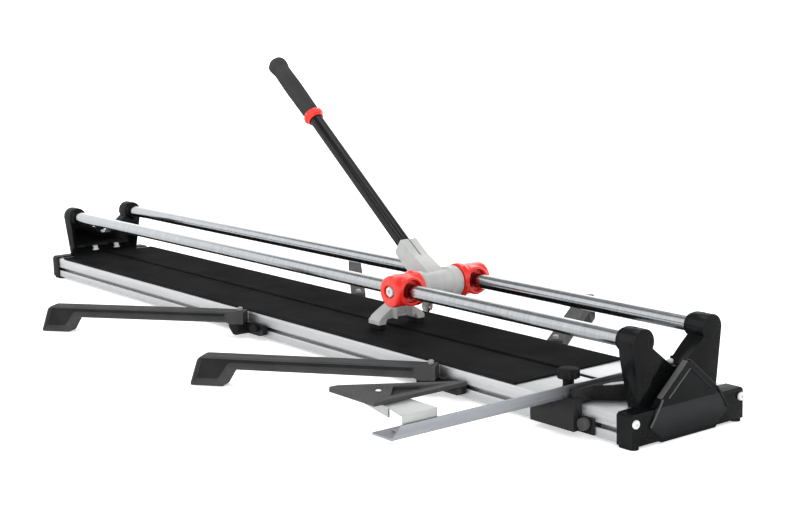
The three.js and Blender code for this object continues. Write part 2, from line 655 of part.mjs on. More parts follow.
// Hinge block clamped to the T-slot, pivot at the origin, bed side towards +Y.
function hingeBlock() {
  const slotFace = PIVOT_OFFSET - PROFILE_FRONT;
  const back = slotFace - GAP;
  const top = ARM_ROOT_BOTTOM - GAP;
  const left = -32;
  const right = 13;
  const body = prism([
    [left + 8, 7], [right, 7], [right, top], [left, top], [left, 16],
  ], 'y', [-16, back]);
  // Only the end that lies clear of the arm's turning corner stands higher.
  const step = right + 6;
  const clamp = prism([
    [right - 1, 9], [HINGE_END, 9], [HINGE_END, 30], [HINGE_END - 3, 33], [step + 2, 33], [step, 31],
    [step, top], [right - 1, top],
  ], 'y', [slotFace - HINGE_PROUD, back]);
  const pinBore = rod('z', PIN_RADIUS + GAP, [9.5, 40], SMALL_ROUND);
  const studBore = rod('y', STUD_RADIUS + GAP, [slotFace - HINGE_PROUD - 1, slotFace + 6], SMALL_ROUND)
    .translate(KNOB_OFFSET, 0, SLOT_HEIGHT);
  return cut(join(body, clamp, slotBar(slotFace, [left, HINGE_END])), pinBore, studBore);
}

function hingePin() {
  const head = 5;
  const seat = ARM_TOP + GAP;
  return turn([
    [0, 10], [PIN_RADIUS, 10], [PIN_RADIUS, seat], [head, seat], [head, seat + 5], [head - 1.5, seat + 6.5],
    [0, seat + 6.5],
  ], 'z', SMALL_ROUND);
}

// Small wing knob on a stud, pointing away from the bed.
function clampKnob() {
  const back = PIVOT_OFFSET - PROFILE_FRONT - HINGE_PROUD - GAP;
  const shape = new THREE.Shape();
  const half = 7;
  const centre = 4.5;
  shape.absarc(centre, SLOT_HEIGHT, half, -Math.PI / 2, Math.PI / 2, false);
  shape.absarc(-centre, SLOT_HEIGHT, half, Math.PI / 2, Math.PI * 1.5, false);
  shape.closePath();
  const wing = extrude(shape, 'y', [back - 9, back - 2]);
  const hub = rod('y', 5.5, [back - 3, back], SMALL_ROUND).translate(0, 0, SLOT_HEIGHT);
  const stud = rod('y', STUD_RADIUS, [back - 1, back + HINGE_PROUD + 4], SMALL_ROUND)
    .translate(0, 0, SLOT_HEIGHT);
  return join(wing, hub, stud);
}

// Arm along +X from its pivot: a beam level with the bed and a leg that reaches the floor.
function swingArm() {
  const legTop = ARM_REACH - LEG_START;
  const legFoot = ARM_REACH - LEG_FOOT;
  const outerTop = ARM_REACH - LEG_LEAN;
  const rise = 6; // where the root's underside steps up to the beam's
  const rootEnd = 20;
  const side = prism([
    [-ARM_ROOT, ARM_ROOT_BOTTOM], [rootEnd, ARM_ROOT_BOTTOM], [rootEnd + rise, ARM_UNDERSIDE],
    [legTop, ARM_UNDERSIDE], [legFoot - 2, 4], [legFoot + 2, ARM_FLOOR_GAP],
    [ARM_REACH - 4, ARM_FLOOR_GAP], [ARM_REACH, 4], [outerTop + 1, ARM_TOP - 2.5],
    [outerTop - 2, ARM_TOP], [-ARM_ROOT, ARM_TOP],
  ], 'y', [-ARM_HALF_WIDTH, ARM_HALF_WIDTH]);
  const rim = 4;
  const recess = [
    [30, ARM_UNDERSIDE + rim], [legTop + 3, ARM_UNDERSIDE + rim], [legFoot + 3, 8],
    [ARM_REACH - 7, 8], [outerTop - 4, ARM_TOP - 6], [30, ARM_TOP - 6],
  ];
  const rearRecess = prism(recess, 'y', [ARM_HALF_WIDTH - ARM_RECESS, ARM_HALF_WIDTH + 1]);
  const frontRecess = prism(recess, 'y', [-ARM_HALF_WIDTH - 1, -ARM_HALF_WIDTH + ARM_RECESS]);
  const bore = rod('z', PIN_RADIUS + GAP, [ARM_ROOT_BOTTOM - 1, ARM_TOP + 1], SMALL_ROUND);
  return cut(side, rearRecess, frontRecess, bore);
}

function buildArms(root) {
  for (const { name, x, side, heading } of ARMS) {
    const station = place(root, x, side * PIVOT_OFFSET, 0);
    const handed = (geometry) => (side < 0 ? geometry : mirrorAcrossBed(geometry));
    add(station, `hinge_block_${name}`, handed(hingeBlock()), BLACK_PLASTIC);
    add(station, `hinge_pin_${name}`, hingePin(), ZINC);
    const knob = place(station, KNOB_OFFSET, 0, 0);
    add(knob, `clamp_knob_${name}`, handed(clampKnob()), GREY_PLASTIC);
    const arm = place(root, x, side * PIVOT_OFFSET, 0, THREE.MathUtils.degToRad(heading));
    add(arm, `swing_arm_${name}`, swingArm(), GREY_PLASTIC);
  }
}

// ---------------------------------------------------------------- fence and square
// Holder clamped to the front T-slot, under the fence.
function fenceHolder() {
  const slotFace = -PROFILE_FRONT;
  const back = slotFace - GAP;
  const top = FENCE_BOTTOM - GAP;
  const left = 763;
  const right = 857;
  const body = prism([
    [left, 10], [right, 10], [right, top], [806, top], [798, 45], [left, 45],
  ], 'y', [HOLDER_BACK, back]);
  const ear = block([right - 7, HOLDER_KNOB_X + 12], [slotFace - HOLDER_PROUD, back], [8, 33]);
  const studBore = rod('y', STUD_RADIUS + GAP, [slotFace - 6, slotFace + 6], SMALL_ROUND)
    .translate(HOLDER_KNOB_X, 0, SLOT_HEIGHT);
  const bar = slotBar(slotFace, [left + 5, HOLDER_KNOB_X + 12]);
  return cut(join(body, ear, bar), studBore, clampBore());
}

// Hole for the fence knob's stud, shared by the holder and the stop's seat.
function clampBore() {
  return rod('z', CLAMP_STUD + GAP, [FENCE_BOTTOM - CLAMP_DEPTH - GAP, FENCE_BOTTOM + 1], SMALL_ROUND)
    .translate(CLAMP_X, CLAMP_Y, 0);
}

function holderKnob() {
  const back = -PROFILE_FRONT - HOLDER_PROUD - GAP;
  const radius = 9.5;
  const profile = [
    [0, back - 14], [radius - 2, back - 14], [radius, back - 12], [radius, back - 4], [7, back - 2],
    [7, back], [STUD_RADIUS, back], [STUD_RADIUS, back + 8], [0, back + 8],
  ];
  return turn(profile, 'y', SMALL_ROUND).translate(HOLDER_KNOB_X, 0, SLOT_HEIGHT);
}

// Stop across the bed, square to the cut: a low seat under the fence, a wall beside it, a wider middle that
// carries the angle plate, and a taller heel at the rear.
function endStop() {
  const low = BED_TOP + GAP;
  const half = PROFILE_FRONT;
  const wallFace = FENCE_FACE + 2;
  const seat = block([800, wallFace + 1], [-half + 0.5, half], [low, FENCE_BOTTOM - GAP]);
  const wall = block([wallFace, STOP_OUTER], [-half + 0.5, half], [low, STOP_TOP]);
  const overhang = block([wallFace, STOP_OUTER], [-131, -half + 1], [FENCE_BOTTOM, STOP_TOP]);
  const middle = prism([
    [STOP_OUTER - 1, -95], [894, -56], [894, -28], [STOP_OUTER - 1, -6],
  ], 'z', [low, STOP_TOP]);
  const heel = block([832, STOP_OUTER + 6], [97, half], [low, HEEL_TOP]);
  return cut(join(seat, wall, overhang, middle, heel), clampBore());
}

// Plate in place of the angle scale, left plain.
function anglePlate() {
  const low = STOP_TOP + GAP;
  return prism([
    [866, -84], [876, -74], [886, -54], [886, -36], [878, -36], [866, -66],
  ], 'z', [low, low + 1.2]);
}

// Fence: an angle section with a slanted cut across the outer end of its upright web.
function fenceBar() {
  const web = prism([
    [FENCE_OUTER, FENCE_BOTTOM], [FENCE_INNER, FENCE_BOTTOM], [FENCE_INNER, FENCE_TOP],
    [FENCE_OUTER + FENCE_CUT, FENCE_TOP],
  ], 'x', [FENCE_FACE - FENCE_SHEET, FENCE_FACE]);
  const flange = block([FENCE_FACE - FENCE_FLANGE, FENCE_FACE - 1], [FENCE_OUTER, FENCE_INNER],
    [FENCE_BOTTOM, FENCE_BOTTOM + FENCE_SHEET]);
  const slotHalf = CLAMP_STUD + 1;
  const slot = block([CLAMP_X - slotHalf, CLAMP_X + slotHalf], CLAMP_SLOT, [FENCE_BOTTOM - 1, FENCE_TOP]);
  return cut(join(web, flange), slot);
}

function fenceKnob() {
  const seat = FENCE_BOTTOM + FENCE_SHEET + GAP;
  const washer = 14; // reaches over the fence's flange
  const boss = 8.5;
  const radius = 17.5;
  const base = 83;
  const top = 98;
  return turn([
    [0, FENCE_BOTTOM - CLAMP_DEPTH], [CLAMP_STUD, FENCE_BOTTOM - CLAMP_DEPTH], [CLAMP_STUD, seat],
    [washer, seat], [washer, seat + 2.5], [boss, seat + 4], [boss, base], [radius - 1, base],
    [radius, base + 1], [radius, top - 4], [radius - 3, top - 1], [8, top], [0, top + 0.3],
  ], 'z').translate(CLAMP_X, CLAMP_Y, 0);
}

// Folded sheet on the fence: a lip on its flange, an upright face, and a shelf with a hanging edge.
function squareBracket() {
  const back = FENCE_FACE - FENCE_SHEET - GAP;
  const sheet = BRACKET_SHEET;
  const span = [BRACKET_OUTER, BRACKET_INNER];
  const seat = FENCE_BOTTOM + FENCE_SHEET + GAP;
  const top = SQUARE_BOTTOM - GAP;
  const lip = block([back - 26, back], span, [seat, seat + sheet]);
  const face = block([back - sheet, back], span, [seat, top]);
  const shelfEnd = 725;
  const foldY = BRACKET_OUTER + 11;
  const foldX = 794;
  const shelf = prism([
    [back, BRACKET_OUTER], [back, BRACKET_INNER - 4], [back - 6, BRACKET_INNER], [shelfEnd, BRACKET_INNER],
    [shelfEnd, foldY], [foldX, foldY], [back - 6, BRACKET_OUTER],
  ], 'z', [top - sheet, top]);
  const hanging = prism([
    [shelfEnd, top - 5], [foldX, 75], [foldX, top], [shelfEnd, top],
  ], 'y', [foldY, foldY + sheet]);
  const screwBore = rod('z', STUD_RADIUS + GAP, [SQUARE_BOTTOM - 12, SQUARE_TOP], SMALL_ROUND)
    .translate(SCREW_X, SCREW_Y, 0);
  return cut(join(lip, face, shelf, hanging), screwBore);
}

function squareScrew() {
  const head = 4.2;
  const seat = SQUARE_TOP + GAP;
  return turn([
    [0, SQUARE_BOTTOM - 8], [STUD_RADIUS, SQUARE_BOTTOM - 8], [STUD_RADIUS, seat], [head, seat],
    [head, seat + 1], [head - 1.5, seat + 1.8], [0, seat + 1.8],
  ], 'z', SMALL_ROUND).translate(SCREW_X, SCREW_Y, 0);
}

// Right-angled plate with a triangular window; the two legs lie along the cut and along the fence.
function squarePlate() {
  const outer = -441;
  const leg = 782;
  const shape = outline([
    [leg, outer], [leg, -277], [leg - 4, -271], [669, -422], [668, -436], [674, outer],
  ]);
  const window = [[leg - 14, -402], [leg - 14, -312], [729, -368]];
  shape.holes.push(new THREE.Path(window.map(([u, v]) => new THREE.Vector2(u, v))));
  const screwBore = rod('z', STUD_RADIUS + GAP, [SQUARE_BOTTOM - 1, SQUARE_TOP + 1], SMALL_ROUND)
    .translate(SCREW_X, SCREW_Y, 0);
  return cut(extrude(shape, 'z', [SQUARE_BOTTOM, SQUARE_TOP]), screwBore);
}

function buildFence(root) {
  add(root, 'fence_holder', fenceHolder(), BLACK_PLASTIC);
  add(root, 'holder_knob', holderKnob(), GREY_PLASTIC);
  add(root, 'end_stop', endStop(), BLACK_PLASTIC);
  add(root, 'angle_plate', anglePlate(), ALUMINIUM);
  add(root, 'fence_bar', fenceBar(), ALUMINIUM);
  add(root, 'fence_knob', fenceKnob(), BLACK_PLASTIC);
  add(root, 'square_bracket', squareBracket(), ALUMINIUM);
  add(root, 'square_plate', squarePlate(), BLACK_PLASTIC);
  add(root, 'square_screw', squareScrew(), ZINC);
}

// ---------------------------------------------------------------- assembly
const cutter = new THREE.Group();
buildBed(cutter);
buildEnd(cutter, 'near', false);
buildEnd(cutter, 'far', true);
buildRails(cutter);
buildCarriage(cutter);
buildLever(cutter);
buildArms(cutter);
buildFence(cutter);

export default cutter;
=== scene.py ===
"""A long manual tile cutter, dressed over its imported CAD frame.

Lengths in the helpers and the piece functions are millimetres in the CAD frame; meshes are stored in metres.
"""

import json
import math

import bmesh
import bpy
from mathutils import Matrix, Vector

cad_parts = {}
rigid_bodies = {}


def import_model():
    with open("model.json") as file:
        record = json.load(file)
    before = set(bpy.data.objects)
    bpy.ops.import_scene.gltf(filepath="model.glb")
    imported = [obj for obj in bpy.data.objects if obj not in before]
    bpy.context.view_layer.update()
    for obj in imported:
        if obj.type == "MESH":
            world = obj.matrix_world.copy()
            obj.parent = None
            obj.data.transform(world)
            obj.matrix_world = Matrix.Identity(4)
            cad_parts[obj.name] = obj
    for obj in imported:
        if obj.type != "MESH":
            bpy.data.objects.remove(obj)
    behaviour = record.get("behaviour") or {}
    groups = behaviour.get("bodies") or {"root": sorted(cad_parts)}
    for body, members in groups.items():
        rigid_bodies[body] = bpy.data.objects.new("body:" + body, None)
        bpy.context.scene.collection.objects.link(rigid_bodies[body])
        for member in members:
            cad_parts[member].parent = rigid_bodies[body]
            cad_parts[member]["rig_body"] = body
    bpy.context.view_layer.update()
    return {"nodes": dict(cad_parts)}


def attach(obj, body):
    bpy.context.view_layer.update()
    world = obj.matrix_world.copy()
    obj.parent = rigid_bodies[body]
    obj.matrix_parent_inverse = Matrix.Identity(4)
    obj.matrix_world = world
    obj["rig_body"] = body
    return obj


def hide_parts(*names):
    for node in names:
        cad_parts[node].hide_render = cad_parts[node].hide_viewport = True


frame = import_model()

MM = 0.001

# Sides of a turned piece
ROUND = 72
SMALL = 40
LONG = 96
# Edges sharper than this, in degrees, are rounded and shaded as edges
CREASE = 32
# The same for cast skins, whose small facets meet at steeper angles
CAST_CREASE = 60
# The same for the grip's rings
RING_CREASE = 50
# The middle of a piece turned about the Z axis
AXIS = (0, 0)

# ---------------------------------------------------------------- dimensions shared with the CAD, in mm
END = 960.0
POST_INNER = 54.0
RAIL_Y = 72.8
RAIL_Z = 146.85
RAIL_R = 12.5
RAIL_BORE_R = 10.0
RAIL_HALF = 931.7
HUB_X = 372.0
LEVER_ANGLE = math.radians(38.2)
LEVER_DROP = 6.4
TUBE_R = 12.8
TUBE_WALL = 2.0
GRIP_BORE_R = 13.1
TUBE_START = 62.0
TUBE_END = 600.0
COLLAR_START = 447.0
COLLAR_END = 464.0
GRIP_END = 620.0
ARM_REACH = 426.0
ARM_HALF = 14.0
ARM_TOP = 53.0
ARM_UNDER = 31.0
ARM_ROOT_UNDER = 28.0
LEG_TOP = ARM_REACH - 81
LEG_FOOT = ARM_REACH - 62
PIVOT_Y = 135.6
BED_FACE = 118.0
CLAMP = (825.0, -115.0)
# Each arm's pivot along X, its side (-1 front, 1 rear) and its heading about Z in degrees
STATIONS = {
    "front_far": (-70.0, -1, 216.8),
    "front_near": (524.0, -1, 216.1),
    "rear_far": (-52.0, 1, 145.4),
    "rear_near": (532.0, 1, 127.8),
}

# ---------------------------------------------------------------- mesh helpers
# Turns an outline's (u, v) and its extrusion into (X, Y, Z)
AXES = {
    "x": Matrix(((0, 0, 1), (1, 0, 0), (0, 1, 0))),
    "y": Matrix(((1, 0, 0), (0, 0, 1), (0, 1, 0))),
    "z": Matrix.Identity(3),
}


def to_object(name, bm):
    """Stores a bmesh in millimetres as an object in metres, faces outward."""
    bmesh.ops.recalc_face_normals(bm, faces=bm.faces)
    bmesh.ops.scale(bm, vec=(MM, MM, MM), verts=bm.verts)
    mesh = bpy.data.meshes.new(name)
    bm.to_mesh(mesh)
    bm.free()
    obj = bpy.data.objects.new(name, mesh)
    bpy.context.scene.collection.objects.link(obj)
    return obj


def fillet(points, radius, steps=4, closed=True):
    """Rounds the corners of an outline with short arcs; radius is one number or one per corner."""
    count = len(points)
    radii = [radius] * count if isinstance(radius, (int, float)) else list(radius)
    result = []
    for i, corner in enumerate(points):
        here = Vector(corner)
        if (not closed and i in (0, count - 1)) or radii[i] <= 0:
            result.append(tuple(here))
            continue
        before = Vector(points[i - 1]) - here
        after = Vector(points[(i + 1) % count]) - here
        reach = min(radii[i], before.length * 0.48, after.length * 0.48)
        start = here + before.normalized() * reach
        finish = here + after.normalized() * reach
        for k in range(steps + 1):
            t = k / steps
            point = start * (1 - t) ** 2 + here * 2 * t * (1 - t) + finish * t**2
            result.append(tuple(point))
    return result


def prism(name, outline, axis, span, second=None):
    """Extrudes an outline: points are (Y, Z) along x, (X, Z) along y and (X, Y) along z.

    A second outline with as many points makes a tapered piece.
    """
    bm = bmesh.new()
    turn = AXES[axis]
    rings = []
    for along, points in zip(span, (outline, second or outline)):
        rings.append([bm.verts.new(turn @ Vector((u, v, along))) for u, v in points])
    bm.faces.new(rings[0])
    bm.faces.new(list(reversed(rings[1])))
    for i in range(len(outline)):
        j = (i + 1) % len(outline)
        bm.faces.new((rings[0][i], rings[1][i], rings[1][j], rings[0][j]))
    return to_object(name, bm)


def lathe(name, profile, axis="z", centre=(0, 0, 0), sides=ROUND, round_off=0.0, steps=3):
    """Turns (radius, along) pairs about an axis through centre; a profile off the axis closes on itself."""
    on_axis = profile[0][0] == 0 and profile[-1][0] == 0
    points = fillet(profile, round_off, steps, closed=not on_axis) if round_off else list(profile)
    bm = bmesh.new()
    rings = []
    for radius, along in points:
        if radius < 1e-6:
            rings.append([bm.verts.new((0, 0, along))])
            continue
        ring = []
        for k in range(sides):
            a = 2 * math.pi * k / sides
            ring.append(bm.verts.new((radius * math.cos(a), radius * math.sin(a), along)))
        rings.append(ring)
    pairs = list(zip(rings, rings[1:]))
    if not on_axis:
        pairs.append((rings[-1], rings[0]))
    for low, high in pairs:
        for k in range(sides):
            j = (k + 1) % sides
            if len(low) == 1 and len(high) == 1:
                continue
            if len(low) == 1:
                bm.faces.new((low[0], high[k], high[j]))
            elif len(high) == 1:
                bm.faces.new((low[k], low[j], high[0]))
            else:
                bm.faces.new((low[k], low[j], high[j], high[k]))
    tilt = {"x": Matrix.Rotation(math.pi / 2, 4, "Y"), "y": Matrix.Rotation(-math.pi / 2, 4, "X")}
    bm.transform(Matrix.Translation(centre) @ tilt.get(axis, Matrix.Identity(4)))
    return to_object(name, bm)


def applied(obj):
    """Bakes an object's modifiers into its mesh."""
    graph = bpy.context.evaluated_depsgraph_get()
    mesh = bpy.data.meshes.new_from_object(obj.evaluated_get(graph))
    obj.modifiers.clear()
    old = obj.data
    obj.data = mesh
    bpy.data.meshes.remove(old)
    return obj


def combine(base, operation, others):
    """Joins or cuts base with the others and uses them up."""
    for other in others:
        modifier = base.modifiers.new("combine", "BOOLEAN")
        modifier.operation = operation
        modifier.object = other
        modifier.solver = "EXACT"
        applied(base)
        bpy.data.objects.remove(other)
    return base


def join(base, *others):
    """Adds the other pieces to base."""
    return combine(base, "UNION", others)


def cut(base, *tools):
    """Cuts the tools out of base."""
    return combine(base, "DIFFERENCE", tools)


def bevelled(obj, width, segments=3, angle=CREASE):
    """Rounds the sharp edges of a piece."""
    modifier = obj.modifiers.new("bevel", "BEVEL")
    modifier.width = width * MM
    modifier.segments = segments
    modifier.limit_method = "ANGLE"
    modifier.angle_limit = math.radians(angle)
    modifier.miter_outer = "MITER_ARC"
    return applied(obj)


def smooth(obj, angle=CREASE):
    """Shades a piece smooth, apart from the edges sharper than angle."""
    obj.data.polygons.foreach_set("use_smooth", [True] * len(obj.data.polygons))
    obj.data.set_sharp_from_angle(angle=math.radians(angle))
    return obj


def cast(obj, voxel, passes=5):
    """Melts a joined solid into one cast or moulded skin with soft corners and fillets."""
    remesh = obj.modifiers.new("remesh", "REMESH")
    remesh.mode = "VOXEL"
    remesh.voxel_size = voxel * MM
    soften = obj.modifiers.new("soften", "SMOOTH")
    soften.factor = 0.5
    soften.iterations = passes
    return applied(obj)


def fluted(obj, centre, count, depth, beyond):
    """Presses shallow flutes into the rim of a piece turned about the vertical through centre."""
    for vertex in obj.data.vertices:
        x = vertex.co.x / MM - centre[0]
        y = vertex.co.y / MM - centre[1]
        radius = math.hypot(x, y)
        if radius > beyond:
            pressed = radius - depth * (0.5 - 0.5 * math.cos(count * math.atan2(y, x)))
            vertex.co.x = (centre[0] + x * pressed / radius) * MM
            vertex.co.y = (centre[1] + y * pressed / radius) * MM
    return obj


def along_lever(obj):
    """Lays a piece turned about Z, from the hub's height up, along the lever."""
    drop = Vector((math.sin(LEVER_ANGLE), 0, math.cos(LEVER_ANGLE))) * -LEVER_DROP
    start = (Vector((HUB_X, 0, RAIL_Z)) + drop) * MM
    obj.data.transform(Matrix.Translation(start) @ Matrix.Rotation(LEVER_ANGLE - math.pi / 2, 4, "Y"))
    return obj


def mirrored(obj, flip):
    """Reflects a piece made on the front side to the rear side."""
    if flip:
        obj.data.transform(Matrix.Diagonal((1, -1, 1, 1)))
        obj.data.flip_normals()
    return obj


def turned_end(obj, flip):
    """Turns a piece made at the near end half round to the far end."""
    if flip:
        obj.data.transform(Matrix.Rotation(math.pi, 4, "Z"))
    return obj


# ---------------------------------------------------------------- materials
# The Mix node's sockets for colours, which share their names with its other sockets
MIX_FACTOR = 0
MIX_A = 6
MIX_B = 7
MIX_RESULT = 2


class Paint:
    """Builds one node material around a Principled shader."""

    def __init__(self, name):
        self.material = bpy.data.materials.new(name)
        self.material.use_nodes = True
        self.nodes = self.material.node_tree.nodes
        self.links = self.material.node_tree.links
        self.shader = self.nodes["Principled BSDF"]
        self.place = self.nodes.new("ShaderNodeTexCoord").outputs["Object"]
        self.normal = None

    # Every texture lies in the object's own space, in metres, so scales are per metre.
    def noise(self, scale, detail=3.0, stretch=(1, 1, 1), roughness=0.55):
        mapping = self.nodes.new("ShaderNodeMapping")
        mapping.inputs["Scale"].default_value = stretch
        texture = self.nodes.new("ShaderNodeTexNoise")
        texture.inputs["Scale"].default_value = scale
        texture.inputs["Detail"].default_value = detail
        texture.inputs["Roughness"].default_value = roughness
        self.links.new(self.place, mapping.inputs["Vector"])
        self.links.new(mapping.outputs["Vector"], texture.inputs["Vector"])
        return texture.outputs["Fac"]

    def spread(self, value, low, high, from_low=0.35, from_high=0.65):
        """Maps a value to low..high; the default input range is where most of a noise lies."""
        ranged = self.nodes.new("ShaderNodeMapRange")
        ranged.inputs["From Min"].default_value = from_low
        ranged.inputs["From Max"].default_value = from_high
        ranged.inputs["To Min"].default_value = low
        ranged.inputs["To Max"].default_value = high
        self.links.new(value, ranged.inputs["Value"])
        return ranged.outputs["Result"]

    def mix(self, factor, first, second):
        """Mixes two colours, each a colour or another node's socket."""
        blend = self.nodes.new("ShaderNodeMix")
        blend.data_type = "RGBA"
        for socket, value in ((MIX_A, first), (MIX_B, second)):
            if isinstance(value, bpy.types.NodeSocket):
                self.links.new(value, blend.inputs[socket])
            else:
                blend.inputs[socket].default_value = (*value, 1)
        self.links.new(factor, blend.inputs[MIX_FACTOR])
        return blend.outputs[MIX_RESULT]

    def edges(self, low=0.52, high=0.60):
        """1 along exposed corners, 0 elsewhere."""
        geometry = self.nodes.new("ShaderNodeNewGeometry")
        return self.spread(geometry.outputs["Pointiness"], 0, 1, low, high)

    def bump(self, height, strength, distance):
        """Adds a bump, distance in millimetres, on top of the bumps before it."""
        node = self.nodes.new("ShaderNodeBump")
        node.inputs["Strength"].default_value = strength
        node.inputs["Distance"].default_value = distance * MM
        self.links.new(height, node.inputs["Height"])
        if self.normal is not None:
            self.links.new(self.normal, node.inputs["Normal"])
        self.normal = node.outputs["Normal"]

    def finish(self, colour, roughness, metallic=0.0, coat=0.0, coat_roughness=0.1, specular=0.5):
        for name, value in (("Base Color", colour), ("Roughness", roughness)):
            if isinstance(value, bpy.types.NodeSocket):
                self.links.new(value, self.shader.inputs[name])
            elif name == "Base Color":
                self.shader.inputs[name].default_value = (*value, 1)
            else:
                self.shader.inputs[name].default_value = value
        self.shader.inputs["Metallic"].default_value = metallic
        self.shader.inputs["Coat Weight"].default_value = coat
        self.shader.inputs["Coat Roughness"].default_value = coat_roughness
        self.shader.inputs["Specular IOR Level"].default_value = specular
        if self.normal is not None:
            self.links.new(self.normal, self.shader.inputs["Normal"])
        return self.material


def brushed(name, light, dark, stretch, roughness, scale=300.0, bump=0.02):
    """Metal with fine lines along one direction: stretch is small along them, and bump mm is their depth."""
    paint = Paint(name)
    lines = paint.noise(scale, 4, stretch)
    clouds = paint.noise(9, 3)
    tone = paint.mix(paint.spread(lines, 0, 1), dark, light)
    worn = paint.mix(paint.spread(clouds, 0, 0.35, 0.4, 0.7), tone, dark)
    paint.bump(lines, 0.35, bump)
    return paint.finish(worn, paint.spread(lines, *roughness), metallic=1.0)


def moulded(
    name, dark, light, roughness, grain, depth, coat=0.0, coat_roughness=0.12, edge_highlight=None, specular=0.5
):
    """Plastic, rubber, paint or plating: a fine grain depth mm deep, faint clouds, and exposed corners
    painted a lighter colour as a painted highlight.
    """
    paint = Paint(name)
    fine = paint.noise(grain, 2)
    clouds = paint.noise(14, 3)
    tone = paint.mix(paint.spread(clouds, 0, 1), dark, light)
    # Exposed corners take a lighter colour: a painted highlight along the edges.
    if edge_highlight:
        tone = paint.mix(paint.edges(), tone, edge_highlight)
    paint.bump(fine, 0.4, depth)
    level = paint.spread(clouds, *roughness)
    return paint.finish(tone, level, coat=coat, coat_roughness=coat_roughness, specular=specular)


# Colours are linear red, green and blue; roughness is a range that the noise moves through.
# Each edge colour below is a painted highlight along a material's exposed corners.
MATERIALS = {
    "bed": brushed(
        "bed_aluminium", light=(0.43, 0.435, 0.44), dark=(0.35, 0.355, 0.36),
        stretch=(0.012, 1, 1), roughness=(0.40, 0.52)),
    "fence": brushed(
        "fence_aluminium", light=(0.25, 0.26, 0.28), dark=(0.20, 0.207, 0.225),
        stretch=(1, 0.012, 1), roughness=(0.36, 0.50)),
    "bracket": brushed(
        "bracket_sheet", light=(0.37, 0.375, 0.375), dark=(0.30, 0.305, 0.305),
        stretch=(1, 0.1, 1), roughness=(0.40, 0.55)),
    "rail": brushed(
        "rail_steel", light=(0.30, 0.31, 0.32), dark=(0.24, 0.25, 0.26),
        stretch=(1, 0.02, 0.02), roughness=(0.15, 0.22), scale=500.0, bump=0.006),
    "zinc": moulded(
        "zinc", dark=(0.42, 0.43, 0.42), light=(0.56, 0.57, 0.55),
        roughness=(0.30, 0.42), grain=500.0, depth=0.01),
    "dull_zinc": moulded(
        "dull_zinc", dark=(0.16, 0.16, 0.16), light=(0.24, 0.24, 0.235),
        roughness=(0.35, 0.48), grain=500.0, depth=0.01),
    "casting": moulded(
        "black_casting", dark=(0.0022, 0.0024, 0.0027), light=(0.0042, 0.0046, 0.0050),
        roughness=(0.24, 0.36), grain=260.0, depth=0.03,
        coat=0.16, edge_highlight=(0.016, 0.017, 0.018), specular=0.0),
    "plastic": moulded(
        "black_plastic", dark=(0.0050, 0.0050, 0.0055), light=(0.0085, 0.0085, 0.0090),
        roughness=(0.42, 0.55), grain=900.0, depth=0.03,
        coat=0.12, coat_roughness=0.35, edge_highlight=(0.022, 0.022, 0.023), specular=0.0),
    "grey": moulded(
        "grey_plastic", dark=(0.034, 0.034, 0.0345), light=(0.046, 0.046, 0.0465),
        roughness=(0.46, 0.58), grain=1100.0, depth=0.04,
        coat=0.12, coat_roughness=0.35, edge_highlight=(0.085, 0.085, 0.086), specular=0.0),
    # Darker plastic for the plates on the arms' dish floors: painted shade in the recesses.
    "recess_shade": moulded(
        "recess_shade_plastic", dark=(0.013, 0.013, 0.0135), light=(0.019, 0.019, 0.0195),
        roughness=(0.50, 0.62), grain=1100.0, depth=0.04,
        coat=0.08, coat_roughness=0.4, specular=0.0),
    "grip": moulded(
        "grip_rubber", dark=(0.024, 0.024, 0.0245), light=(0.036, 0.036, 0.037),
        roughness=(0.58, 0.70), grain=1400.0, depth=0.08,
        coat=0.06, coat_roughness=0.5, edge_highlight=(0.055, 0.055, 0.056), specular=0.0),
    "rubber": moulded(
        "bed_rubber", dark=(0.0085, 0.0085, 0.0090), light=(0.0125, 0.0125, 0.0130),
        roughness=(0.70, 0.85), grain=1500.0, depth=0.05,
        coat=0.05, coat_roughness=0.55, specular=0.0),
    "foot": moulded(
        "foot_rubber", dark=(0.008, 0.008, 0.008), light=(0.013, 0.013, 0.013),
        roughness=(0.7, 0.8), grain=1200.0, depth=0.05, specular=0.05),
    "red": moulded(
        "red_plastic", dark=(0.56, 0.016, 0.010), light=(0.65, 0.024, 0.016),
        roughness=(0.24, 0.34), grain=300.0, depth=0.02,
        coat=0.35, edge_highlight=(0.72, 0.06, 0.04), specular=0.15),
    "grey_casting": moulded(
        "grey_casting", dark=(0.31, 0.315, 0.31), light=(0.40, 0.405, 0.395),
        roughness=(0.40, 0.52), grain=700.0, depth=0.14,
        edge_highlight=(0.52, 0.53, 0.51), specular=0.3),
    "paint": moulded(
        "black_paint", dark=(0.0035, 0.0035, 0.0040), light=(0.0060, 0.0060, 0.0065),
        roughness=(0.18, 0.26), grain=200.0, depth=0.02, coat=0.35, specular=0.0),
    "spine": moulded(
        "spine_paint", dark=(0.005, 0.005, 0.005), light=(0.008, 0.008, 0.008),
        roughness=(0.45, 0.55), grain=900.0, depth=0.03,
        coat=0.05, coat_roughness=0.4, specular=0.0),
    "carbide": brushed(
        "carbide", light=(0.40, 0.41, 0.43), dark=(0.30, 0.31, 0.33),
        stretch=(1, 1, 1), roughness=(0.22, 0.32)),
}


def dress(obj, body, material, *nodes, angle=CREASE):
    """Finishes a piece: shading, material, the body it rides on and the CAD nodes it stands for."""
    smooth(obj, angle)
    obj.data.materials.clear()
    obj.data.materials.append(MATERIALS[material])
    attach(obj, body)
    if nodes:
        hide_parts(*nodes)
    return obj


